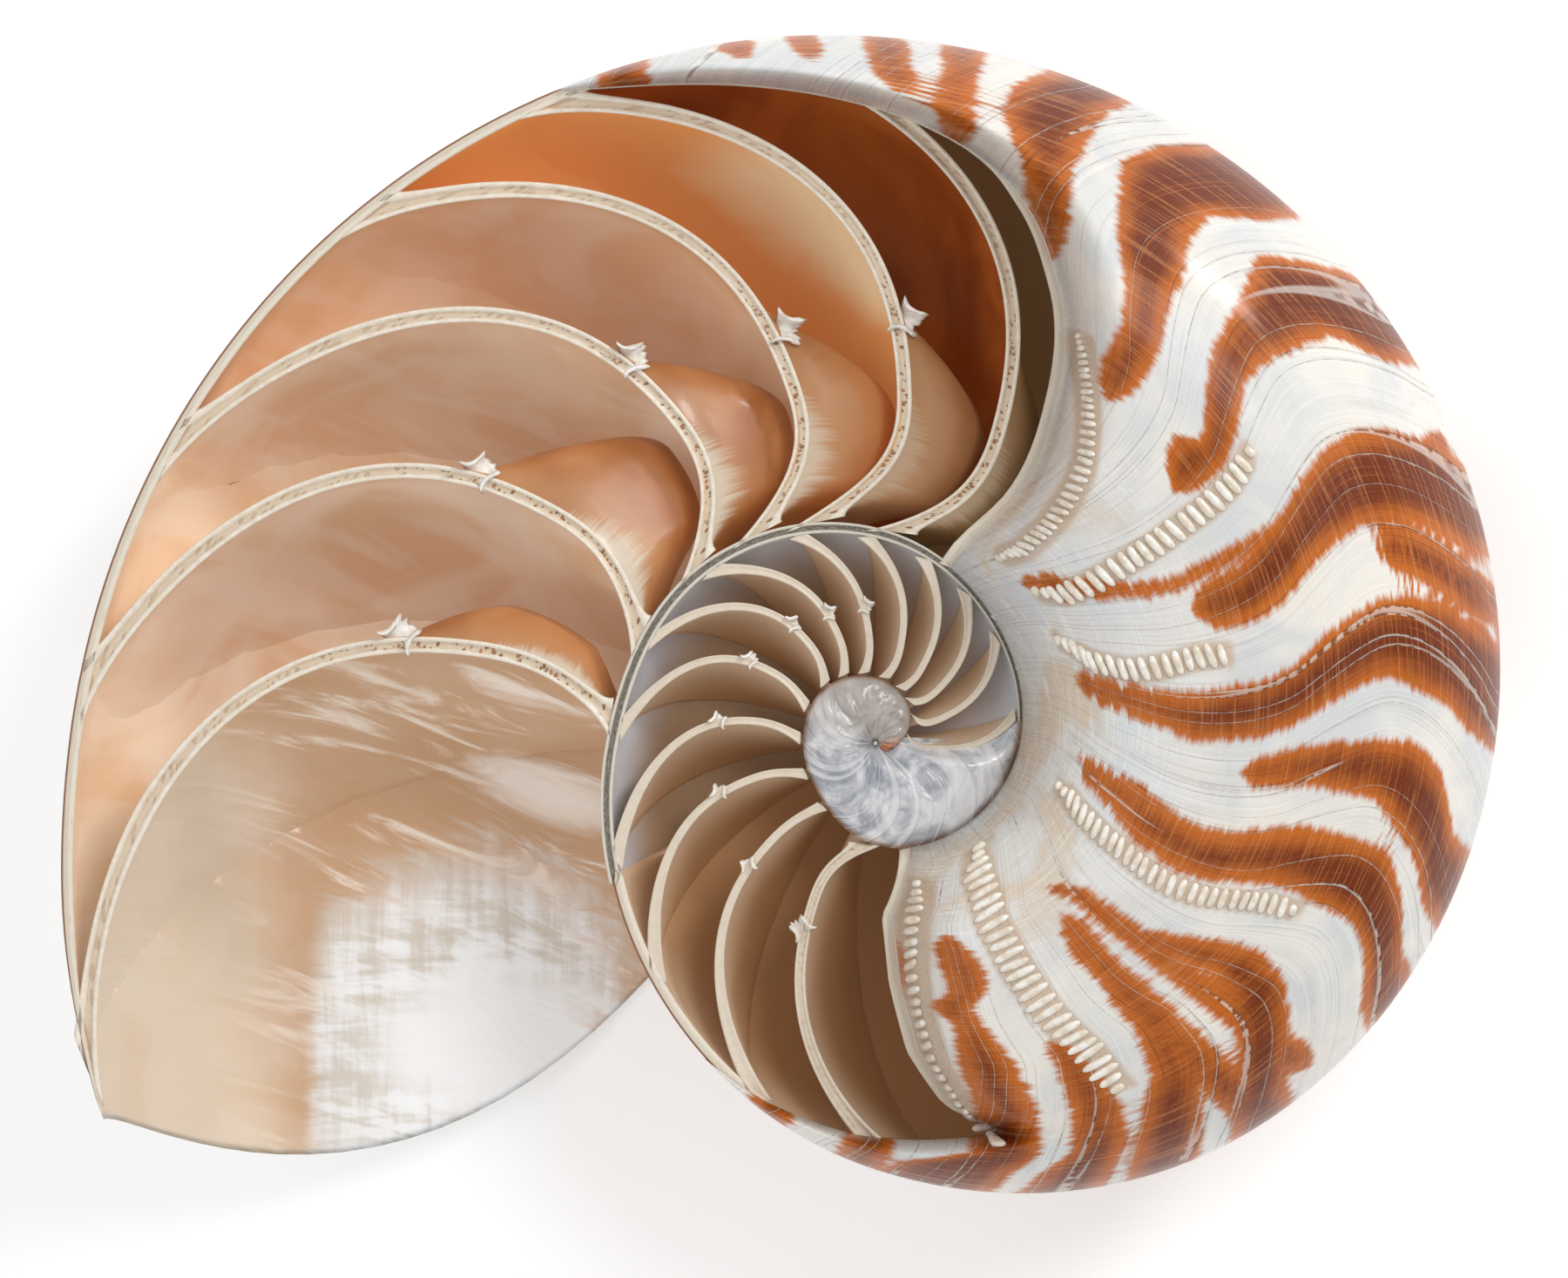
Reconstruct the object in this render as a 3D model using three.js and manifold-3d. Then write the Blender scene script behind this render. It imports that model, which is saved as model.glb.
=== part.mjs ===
// Half of a chambered nautilus shell, lying on its whole flank with the sawn face up.
// Millimetres, +Z up. Made with three 0.186 and manifold-3d.
//
// Every point of a coiled shell is found from three numbers:
//   growth  degrees turned round the coil since growth began, counter-clockwise from +X
//   across  0 on the wall of the whorl before, 1 on the outside of this whorl
//   around  0 at the saw cut on the rim, 1 at the navel, over the flank that is kept whole

import * as THREE from "three";
import { mergeVertices } from "three/addons/utils/BufferGeometryUtils.js";
import Module from "manifold-3d";

// ---- Driving dimensions: mm and degrees ----

// Distance from the coil's centre to the rim, at every eighth of a turn of growth.
const RIM_FIRST_GROWTH = -405;
const RIM_STEP = 45;
const RIM_RADII = [
  1.3, 2.5, 5.1, 6.9, 7.9, 7.6, 8.1, 10.7,
  12.6, 15.1, 17.9, 22.3, 25.9, 27.9, 34.0, 44.7,
  56.8, 65.0, 70.3, 74.1, 78.1, 84.6, 94.2,
];

const MOUTH_GROWTH = 566; // the rim ends here
const MOUTH_SWEEP = 21; // the lip's flank reaches this much further than its rim
const LIP_INNER = 0.37; // inside this share of the rim radius the lip runs straight
const SHELL_START = MOUTH_GROWTH - 360; // the last turn begins under the mouth

const FLANK_WIDTH = 0.38; // half width of the tube, in rim radii
const WIDEST_AT = 0.43; // where the tube is widest, in rim radii from the centre
const NAVEL_DEPTH = 17; // depth that the navel's floor nears as the shell grows
const NAVEL_REACH = 55; // rim radius over which it does so
const NAVEL_AXIS = 1.5; // the section's inner end, from the axis
const NAVEL_TURN = 0.7; // share of "around" that lies outside the widest line

const OUTER_WALL = 1.4;
const INNER_WALL = 0.6;
const CORE_RADIUS = 8.4; // the first, closed coil, from its domed near side to the navel's plug
const CORE_HEIGHT = 2.2;
const CORE_DEPTH = 12.5;

// Septa, from the mouth inwards: growth at the lowest point of the sawn edge, how far its
// rim end and its inner end run forward of that.
const SEPTA = [
  [526, 30, 9], [503.7, 33, 12.5], [480.6, 37, 15.5], [462.3, 32, 18],
  [444.5, 33, 21.5], [427.7, 33, 18.5], [409, 34, 16], [386, 34, 16],
  [364, 32, 18], [341, 30, 18], [309, 28, 18], [276, 26, 16],
  [248, 26, 17], [222.5, 30, 8], [195.5, 32, 9], [169, 36, 8],
  [144.7, 33, 8], [123, 33, 8], [108.5, 26, 7], [93, 18, 7],
  [75, 18, 8], [58, 18, 8], [40, 20, 12], [20, 22, 16],
  [-6, 18, 20],
];
const DISH_DEPTH = 13; // a septum's flank edge runs this far forward of its middle
const SEPTUM_BASE = 0.45; // thickness, plus the share of the rim radius below
const SEPTUM_SHARE = 0.011;
const COVERED_FROM = 6; // the hollows behind these septa lie under the kept near wall
const COVERED_TO = 10;
const LAST_TURN_END = 12; // septa before this one are in the last turn
const SIPHUNCLE_RADIUS = 0.9;
const SIPHUNCLE_ACROSS = 0.47;

// The near wall is kept between two septa: the growth of each border, from the coil to the rim.
const COVER_LOW = [289, 276, 276, 278, 283, 289];
const COVER_HIGH = [427, 420, 422, 428, 441, 476];
const COVER_HEIGHT = 0.3; // height of the near flank over the cut, in rim radii
const COVER_WALL = 1.5;
const COVER_EDGE = 7; // length over which the near wall rolls down to its borders

// How finely a hollow is faceted.
const FINE = { across: 7, around: 5, along: 3 };
const COARSE = { across: 5, around: 4, along: 2 };
const BODY = { across: 7, around: 6, along: 11 };
const HOLLOW_DEPTH = 0.88; // share of "around" that a hollow reaches
const OPEN_LIFT = 30; // an open hollow is cut this far over the saw cut
const PAST_LIP = 12; // the open chamber's cut runs this much past the lip, in degrees
const MERGE = 0.02; // corners this close are one

// The way that is up, seen from the saw cut, when the shell lies on its flank.
const REST_UP = new THREE.Vector3(-0.109, -0.069, 0.9917);

// ---- The coil ----

const RAD = Math.PI / 180;
const mix = (a, b, t) => a + (b - a) * t;
const clamp = (x, low, high) => Math.min(Math.max(x, low), high);

// A smooth curve through evenly spaced values.
function through(values, place) {
  const x = clamp(place, 0, values.length - 1.0001);
  const i = Math.floor(x);
  const t = x - i;
  const at = (k) => values[clamp(k, 0, values.length - 1)];
  const slope = (at(i + 1) - at(i - 1)) / 2;
  const nextSlope = (at(i + 2) - at(i)) / 2;
  const t2 = t * t;
  const t3 = t2 * t;
  return at(i) * (2 * t3 - 3 * t2 + 1) + slope * (t3 - 2 * t2 + t)
    + at(i + 1) * (3 * t2 - 2 * t3) + nextSlope * (t3 - t2);
}

const rim = (growth) => through(RIM_RADII, (growth - RIM_FIRST_GROWTH) / RIM_STEP);

// A point of the whorl's outside: distance from the axis and height (the cut is at 0).
function flank(growth, around) {
  const r = rim(growth);
  const width = FLANK_WIDTH * r;
  if (around < NAVEL_TURN) {
    const turn = (around / NAVEL_TURN) * 90 * RAD;
    return [
      mix(WIDEST_AT * r, r, Math.cos(turn)),
      -width * Math.pow(Math.sin(turn), 0.9),
    ];
  }
  const turn = ((around - NAVEL_TURN) / (1 - NAVEL_TURN)) * 90 * RAD;
  return [
    mix(WIDEST_AT * r, NAVEL_AXIS, Math.sin(turn)),
    -mix(NAVEL_DEPTH * (1 - Math.exp(-r / NAVEL_REACH)), width, Math.cos(turn)),
  ];
}

function onCoil(growth, radius, height) {
  const turn = growth * RAD;
  return [radius * Math.cos(turn), radius * Math.sin(turn), height];
}

// ---- Closed meshes ----

// A closed solid from layers of points: every layer is a grid of the same rows and columns.
function block(layers) {
  const rows = layers[0].length;
  const columns = layers[0][0].length;
  const points = layers.flat(2);
  const at = (layer, row, column) => (layer * rows + row) * columns + column;
  const last = layers.length - 1;
  const index = [];
  const quad = (a, b, c, d) => index.push(a, b, c, a, c, d);
  for (let i = 0; i < rows - 1; i += 1) {
    for (let j = 0; j < columns - 1; j += 1) {
      quad(at(0, i, j), at(0, i, j + 1), at(0, i + 1, j + 1), at(0, i + 1, j));
      quad(at(last, i, j), at(last, i + 1, j), at(last, i + 1, j + 1), at(last, i, j + 1));
    }
  }
  for (let k = 0; k < last; k += 1) {
    for (let i = 0; i < rows - 1; i += 1) {
      const end = columns - 1;
      quad(at(k, i, 0), at(k, i + 1, 0), at(k + 1, i + 1, 0), at(k + 1, i, 0));
      quad(at(k, i, end), at(k + 1, i, end), at(k + 1, i + 1, end), at(k, i + 1, end));
    }
    for (let j = 0; j < columns - 1; j += 1) {
      const end = rows - 1;
      quad(at(k, 0, j), at(k + 1, 0, j), at(k + 1, 0, j + 1), at(k, 0, j + 1));
      quad(at(k, end, j), at(k, end, j + 1), at(k + 1, end, j + 1), at(k + 1, end, j));
    }
  }
  const geometry = new THREE.BufferGeometry();
  geometry.setAttribute("position", new THREE.Float32BufferAttribute(points.flat(), 3));
  geometry.setIndex(index);
  return geometry;
}

const wasm = await Module();
wasm.setup();

function solid(geometry) {
  geometry.deleteAttribute("normal");
  geometry.deleteAttribute("uv");
  const merged = mergeVertices(geometry, 1e-4);
  const vertProperties = new Float32Array(merged.attributes.position.array);
  let triVerts = new Uint32Array(merged.index.array);
  if (volume(vertProperties, triVerts) < 0) {
    triVerts = triVerts.map((_, k) => triVerts[k - (k % 3) + [0, 2, 1][k % 3]]);
  }
  return new wasm.Manifold(new wasm.Mesh({ numProp: 3, vertProperties, triVerts, tolerance: MERGE }));
}

function volume(points, index) {
  const corner = (k) => new THREE.Vector3().fromArray(points, index[k] * 3);
  let total = 0;
  for (let k = 0; k < index.length; k += 3) {
    total += corner(k).dot(corner(k + 1).cross(corner(k + 2))) / 6;
  }
  return total;
}

// Evenly spaced values from low to high.
const steps = (low, high, count) =>
  Array.from({ length: count + 1 }, (_, k) => mix(low, high, k / count));

// ---- Outside ----

// How far the lip runs past the end of the rim.
function mouthSweep(around) {
  const [radius] = flank(MOUTH_GROWTH, around);
  const out = clamp((radius / rim(MOUTH_GROWTH) - LIP_INNER) / (1 - LIP_INNER), 0, 1);
  return MOUTH_SWEEP * (1 - out ** 2);
}

// The whorl from the axis to its outside, as if it were solid.
function whorl(from, to, count, swept) {
  const arounds = steps(0, 1, 11);
  const layers = steps(0, 1, count).map((part) => [0, 1].map((out) => arounds.map((around) => {
    const sweep = swept * mouthSweep(around) * part ** 3;
    const growth = mix(from, to, part) + sweep;
    const [radius, height] = flank(growth, around);
    return out ? onCoil(growth, radius, height) : onCoil(growth, NAVEL_AXIS * 0.9, -around);
  })));
  return solid(block(layers));
}

// ---- Near wall ----

const coverBorder = (across) => [
  through(COVER_LOW, across * (COVER_LOW.length - 1)),
  through(COVER_HIGH, across * (COVER_HIGH.length - 1)),
];

// Height of the near wall over the cut.
function coverHeight(growth, across) {
  const [low, high] = coverBorder(across);
  const radius = mix(rim(growth - 360), rim(growth), across);
  const inside = Math.min(growth - low, high - growth) * RAD * radius;
  const roll = Math.sqrt(1 - (1 - clamp(inside / COVER_EDGE, 0, 1)) ** 2);
  const bulge = (1 - Math.abs(2 * across ** 0.85 - 1) ** 2.6) ** 0.62;
  return COVER_HEIGHT * rim(growth) * bulge * mix(0.12, 1, roll);
}

function coverBlock(base, rows, columns) {
  const acrosses = steps(0.005, 0.995, columns);
  const layer = (isTop) => steps(0, 1, rows).map((part) => acrosses.map((across) => {
    const [low, high] = coverBorder(across);
    const growth = mix(low, high, (1 - Math.cos(part * Math.PI)) / 2);
    const radius = mix(rim(growth - 360), rim(growth), across);
    return onCoil(growth, radius, isTop ? coverHeight(growth, across) + 0.05 : base);
  }));
  return solid(block([layer(true), layer(false)]));
}

// ---- Chambers ----

// Growth angle on a septum. It is a dish, hollow towards the mouth.
function septumGrowth([middle, rimRun, innerRun], across, around) {
  const dish = Math.sin(clamp(around, 0, 1) * 90 * RAD) ** 1.5;
  const edge = rimRun * across ** 3 + innerRun * Math.max(0, 1 - across / 0.3) ** 3;
  return middle + mix(edge, DISH_DEPTH, dish);
}

// Half of a septum's thickness, as an angle, where it leans by its slope across the whorl.
function halfSeptum(septum, across, around) {
  const growth = septumGrowth(septum, across, around);
  const depth = rim(growth) - rim(growth - 360);
  const radius = mix(rim(growth - 360), rim(growth), across);
  const before = septumGrowth(septum, across - 0.02, around);
  const after = septumGrowth(septum, across + 0.02, around);
  const lean = Math.hypot(1, ((after - before) / 0.04) * RAD * radius / depth);
  return ((SEPTUM_BASE + SEPTUM_SHARE * rim(growth)) / 2 / radius / RAD) * lean;
}

// A point inside the whorl, clear of its walls.
function insidePoint(growth, across, around) {
  const [outerRadius, outerHeight] = flank(growth, around);
  const [innerRadius, innerHeight] = flank(growth - 360, around);
  const gap = Math.hypot(outerRadius - innerRadius, outerHeight - innerHeight);
  const share = mix(INNER_WALL / gap, 1 - OUTER_WALL / gap, across);
  return onCoil(
    growth,
    mix(innerRadius, outerRadius, share),
    mix(innerHeight, outerHeight, share),
  );
}

// The point over the cut that closes a hollow: far above it, or under the near wall.
function roofPoint(growth, across, isCovered) {
  const [x, y] = insidePoint(growth, across, 0);
  const clear = 0.9 - 0.6 * across ** 8;
  const roof = Math.max(coverHeight(growth, across) * clear - COVER_WALL, 0.3);
  return [x, y, isCovered ? roof : OPEN_LIFT];
}

// The hollow between two septa, or between a septum and the open mouth.
function chamber(front, back, grid, isCovered) {
  const acrosses = steps(0, 1, grid.across).map((part) => (1 - Math.cos(part * Math.PI)) / 2);
  const arounds = steps(0, HOLLOW_DEPTH, grid.around);
  const start = (across, around) =>
    septumGrowth(back, across, around) + halfSeptum(back, across, around);
  const end = (across, around) => (front
    ? septumGrowth(front, across, around) - halfSeptum(front, across, around)
    : MOUTH_GROWTH + PAST_LIP + mouthSweep(around));
  const layers = steps(0, 1, grid.along).map((part) => acrosses.map((across) => {
    const column = arounds.map((around) => {
      const growth = mix(start(across, around), end(across, around), part);
      return insidePoint(growth, across, around);
    });
    const top = roofPoint(mix(start(across, 0), end(across, 0), part), across, isCovered);
    return [top, ...column];
  }));
  return solid(block(layers));
}

// ---- The shell ----

// The closed coil at the centre: a low dome on the sawn side, a plug in the navel.
function core() {
  const dome = new THREE.SplineCurve([
    new THREE.Vector2(CORE_RADIUS, 0),
    new THREE.Vector2(CORE_RADIUS * 0.75, CORE_HEIGHT * 0.7),
    new THREE.Vector2(0, CORE_HEIGHT),
  ]).getPoints(4);
  const profile = [
    new THREE.Vector2(0, -CORE_DEPTH),
    new THREE.Vector2(CORE_RADIUS * 0.6, -CORE_DEPTH * 0.93),
    new THREE.Vector2(CORE_RADIUS, -CORE_DEPTH * 0.7),
    ...dome,
  ];
  return solid(new THREE.LatheGeometry(profile, 20).rotateX(90 * RAD));
}

function siphuncle() {
  const places = steps(SEPTA[COVERED_TO + 1][0] - 5, SEPTA[COVERED_FROM][0] + 5, 16);
  const curve = new THREE.CatmullRomCurve3(places.map((growth) => {
    const radius = mix(rim(growth - 360), rim(growth), SIPHUNCLE_ACROSS);
    return new THREE.Vector3(...onCoil(growth, radius, -2));
  }));
  const section = new THREE.Shape().absarc(0, 0, SIPHUNCLE_RADIUS, 0, Math.PI * 2);
  const path = { steps: 48, bevelEnabled: false, extrudePath: curve, curveSegments: 3 };
  return solid(new THREE.ExtrudeGeometry(section, path));
}

function shellSolid() {
  const middle = SHELL_START + 190;
  let shell = whorl(SHELL_START, middle, 17, 0);
  shell = shell.add(whorl(middle - 1, MOUTH_GROWTH, 18, 1));
  const hollows = SEPTA.slice(1).map((back, k) => {
    const isCovered = k >= COVERED_FROM && k <= COVERED_TO;
    const grid = k < LAST_TURN_END ? FINE : COARSE;
    return { isCovered, body: chamber(SEPTA[k], back, grid, isCovered) };
  });
  hollows.push({ isCovered: false, body: chamber(null, SEPTA[0], BODY, false) });
  for (const { body } of hollows.filter((hollow) => !hollow.isCovered)) {
    shell = shell.subtract(body);
  }
  shell = shell.add(coverBlock(-2, 18, 10));
  for (const { body } of hollows.filter((hollow) => hollow.isCovered)) {
    shell = shell.subtract(body);
  }
  return shell.add(core()).subtract(siphuncle());
}

function geometryOf(body) {
  const { vertProperties, triVerts } = body.getMesh();
  const geometry = new THREE.BufferGeometry();
  geometry.setAttribute("position", new THREE.Float32BufferAttribute(vertProperties, 3));
  geometry.setIndex([...triVerts]);
  geometry.computeVertexNormals();
  return geometry;
}

const shellFinish = new THREE.MeshStandardMaterial({
  color: 0xd9bea0,
  roughness: 0.35,
  metalness: 0,
});

const shell = new THREE.Mesh(geometryOf(shellSolid()), shellFinish);
shell.name = "shell";
shell.quaternion.setFromUnitVectors(REST_UP.normalize(), new THREE.Vector3(0, 0, 1));

// The origin is the middle of the box round the shell, on the surface it lies on.
const box = new THREE.Box3().setFromObject(shell, true);
const middle = box.getCenter(new THREE.Vector3());
shell.position.set(-middle.x, -middle.y, -box.min.z);

const group = new THREE.Group();
group.add(shell);

export default group;
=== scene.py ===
"""Half of a chambered nautilus shell, lying on its whole flank with the sawn face up.

Shapes are worked out in millimetres on the coil, as in the CAD model, and set down in the
frame at the end. Every place on the coil comes from three numbers:
  growth  degrees turned round the coil, counter-clockwise from +X
  across  0 on the wall of the whorl before, 1 on the outside of this whorl
  around  0 at the saw cut on the rim, 1 at the navel, over the flank that is kept whole
"""

import math

import bmesh
import bpy
from mathutils import Matrix, Vector, noise


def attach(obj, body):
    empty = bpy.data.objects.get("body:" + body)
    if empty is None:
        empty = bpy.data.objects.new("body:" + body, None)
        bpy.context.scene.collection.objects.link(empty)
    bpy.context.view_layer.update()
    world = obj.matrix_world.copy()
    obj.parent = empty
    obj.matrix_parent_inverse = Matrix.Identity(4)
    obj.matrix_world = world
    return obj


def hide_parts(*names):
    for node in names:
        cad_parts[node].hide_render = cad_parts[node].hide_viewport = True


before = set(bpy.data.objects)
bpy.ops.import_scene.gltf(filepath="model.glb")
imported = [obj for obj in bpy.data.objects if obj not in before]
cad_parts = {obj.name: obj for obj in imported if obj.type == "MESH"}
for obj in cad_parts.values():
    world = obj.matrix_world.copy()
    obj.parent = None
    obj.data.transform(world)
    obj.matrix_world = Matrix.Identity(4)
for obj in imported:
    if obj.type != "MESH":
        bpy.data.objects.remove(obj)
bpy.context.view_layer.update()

# ---- The coil, in mm and degrees: the CAD model's dimensions, but for those noted ----

RIM_RADII = [
    1.3, 2.5, 5.1, 6.9, 7.9, 7.6, 8.1, 10.7,
    12.6, 15.1, 17.9, 22.3, 25.9, 27.9, 34.0, 44.7,
    56.8, 65.0, 70.3, 74.1, 78.1, 84.6, 94.2,
]
RIM_FIRST_GROWTH = -405
RIM_STEP = 45
MOUTH_GROWTH = 566
MOUTH_SWEEP = 21
LIP_INNER = 0.37
SHELL_START = MOUTH_GROWTH - 360
FLANK_WIDTH = 0.38
WIDEST_AT = 0.43
NAVEL_DEPTH = 17
NAVEL_REACH = 55
NAVEL_AXIS = 1.5
NAVEL_TURN = 0.7
CORE_END = -5  # the first coil, closed on the sawn side, ends at this growth
# Near wall's lower border, (across, growth). Past 0.82 it runs on round the foot of the last
# turn, which the CAD model's border doesn't.
COVER_LOW = [(0, 289), (0.2, 276), (0.4, 276), (0.6, 278), (0.76, 283), (0.82, 288), (0.86, 279),
             (0.91, 268), (0.96, 254), (1, 242)]
COVER_HIGH = [427, 420, 422, 428, 441, 476]
COVER_HEIGHT = 0.3
COVER_EDGE = 7
SEPTA = [
    [526, 30, 9], [503.7, 33, 12.5], [480.6, 37, 15.5], [462.3, 32, 18],
    [444.5, 33, 21.5], [427.7, 33, 18.5], [409, 34, 16], [386, 34, 16],
    [364, 32, 18], [341, 30, 18], [309, 28, 18], [276, 26, 16],
    [248, 26, 17], [222.5, 30, 8], [195.5, 32, 9], [169, 36, 8],
    [144.7, 33, 8], [123, 33, 8], [108.5, 26, 7], [93, 18, 7],
    [75, 18, 8], [58, 18, 8], [40, 20, 12], [20, 22, 16],
    [-6, 18, 20],
]
DISH_DEPTH = 13
FIRST_INNER = 13  # septa from this one on lie in the inner turn
BELLIES = {0: 8, 1: 20, 2: 17, 3: 17, 4: 16, 5: 12}  # degrees the back of a septum bulges
FILLET = 9  # degrees a septum runs on where it meets the outer wall
SEPTUM_BASE = 0.58  # thicker than in the CAD model
SEPTUM_SHARE = 0.011

WALL = 1.25  # outer wall's thickness; 1.4 in the CAD model
COIL_WALL = 1.3
NEAR_WALL = 1.2
SWEEP_FROM, SWEEP_RUN = 395, 171  # the lip's sweep grows over these degrees
CHAMBER_SHIFT = 2  # degrees behind a septum where the lining changes
MERGE = 0.004  # corners this close are one
INSIDE_GLOW = 0.09
FLOOR_GLOW = 0.24
SHELL_PLACE = Vector((9.892526, -13.480283, 30.926546))  # coil's centre in the frame
SHELL_UP = Vector((-0.109, -0.069, 0.9917)).normalized()  # points up when the shell lies
TO_FRAME = (
    Matrix.Scale(0.001, 4)
    @ Matrix.Translation(SHELL_PLACE)
    @ SHELL_UP.rotation_difference(Vector((0, 0, 1))).to_matrix().to_4x4()
)

RAD = math.pi / 180


def mix(a, b, t):
    return a + (b - a) * t


def clamp(x, low=0.0, high=1.0):
    return min(max(x, low), high)


def smooth(x, low, high):
    t = clamp((x - low) / (high - low))
    return t * t * (3 - 2 * t)


def through(values, place):
    """A smooth curve through evenly spaced values."""
    x = clamp(place, 0, len(values) - 1.0001)
    i = int(x)
    t = x - i
    last = len(values) - 1
    before, here, there, after = (values[int(clamp(i + k, 0, last))] for k in (-1, 0, 1, 2))
    slope, next_slope = (there - before) / 2, (after - here) / 2
    t2, t3 = t * t, t * t * t
    return (
        here * (2 * t3 - 3 * t2 + 1)
        + slope * (t3 - 2 * t2 + t)
        + there * (3 * t2 - 2 * t3)
        + next_slope * (t3 - t2)
    )


def between(points, place):
    """Straight lines through (place, value) pairs."""
    for (x0, y0), (x1, y1) in zip(points, points[1:]):
        if place <= x1:
            return mix(y0, y1, clamp((place - x0) / (x1 - x0)))
    return points[-1][1]


def rim(growth):
    return through(RIM_RADII, (growth - RIM_FIRST_GROWTH) / RIM_STEP)


def flank(growth, around):
    """A point on the outside of the whorl: distance from the axis and height."""
    r = rim(growth)
    width = FLANK_WIDTH * r
    if around < NAVEL_TURN:
        turn = around / NAVEL_TURN * 90 * RAD
        return mix(WIDEST_AT * r, r, math.cos(turn)), -width * math.sin(turn) ** 0.9
    turn = (around - NAVEL_TURN) / (1 - NAVEL_TURN) * 90 * RAD
    navel = NAVEL_DEPTH * (1 - math.exp(-r / NAVEL_REACH))
    return mix(WIDEST_AT * r, NAVEL_AXIS, math.sin(turn)), -mix(navel, width, math.cos(turn))


def flank_inside(growth, around, depth):
    """A point under the outside of the whorl, square to its section."""
    low, high = max(around - 0.004, 0), min(around + 0.004, 1)
    r0, z0 = flank(growth, low)
    r1, z1 = flank(growth, high)
    size = math.hypot(r1 - r0, z1 - z0)
    r, z = flank(growth, around)
    if around < 0.002:
        return r - depth, z
    return max(r + (z1 - z0) / size * depth, 0.6), z - (r1 - r0) / size * depth


def on_coil(growth, radius, height):
    turn = growth * RAD
    return Vector((radius * math.cos(turn), radius * math.sin(turn), height))


def mouth_sweep(around):
    radius, _ = flank(MOUTH_GROWTH, around)
    out = clamp((radius / rim(MOUTH_GROWTH) - LIP_INNER) / (1 - LIP_INNER))
    return MOUTH_SWEEP * (1 - out**2)


def cover_border(across):
    return (
        between(COVER_LOW, across),
        through(COVER_HIGH, across * (len(COVER_HIGH) - 1)),
    )


def cover_height(growth, across):
    low, high = cover_border(across)
    radius = mix(rim(growth - 360), rim(growth), across)
    inside = min(growth - low, high - growth) * RAD * radius
    roll = math.sqrt(1 - (1 - clamp(inside / COVER_EDGE)) ** 2)
    bulge = max(1 - abs(2 * across**0.85 - 1) ** 2.6, 0) ** 0.62
    return COVER_HEIGHT * rim(growth) * bulge * mix(0.03, 1, roll)


def septum_growth(number, across, around):
    """Growth on a septum, a dish that is hollow towards the mouth."""
    middle, rim_run, inner_run = SEPTA[number]
    dish = math.sin(clamp(around) * 90 * RAD) ** 1.5
    edge = rim_run * across**3 + inner_run * max(0, 1 - across / 0.3) ** 3
    if number < FIRST_INNER:
        run_on = smooth(around, 0.0, 0.2) if number else 0.8
        edge += FILLET * math.exp((across - 1) * 14) * run_on
    belly = BELLIES.get(number, 0) * smooth(across, 0, 0.1) * (1 - smooth(across, 0.26, 0.5))
    return middle + mix(edge, DISH_DEPTH, dish) - belly * math.sin(clamp(around / 0.3) * math.pi)


def septum_place(number, across, around):
    """A point on a septum's middle, where the walls' insides are."""
    growth = septum_growth(number, across, around)
    outer, inner = flank(growth, around), flank(growth - 360, around)
    gap = math.hypot(outer[0] - inner[0], outer[1] - inner[1])
    inset = 0.2 if number == 0 else 0.4 if number == 1 else 0.8
    share = mix(0.2 / gap, 1 - inset / gap, across)
    return growth, mix(inner[0], outer[0], share), mix(inner[1], outer[1], share)


def chamber_at(growth, across, around):
    """0 in the mouth, then one more past each septum towards the centre."""
    past = growth + CHAMBER_SHIFT
    return sum(1 for number in range(len(SEPTA)) if septum_growth(number, across, around) > past)


# ---- Stripes: (share of the rim radius, growth where one begins, where it ends) ----

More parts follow.
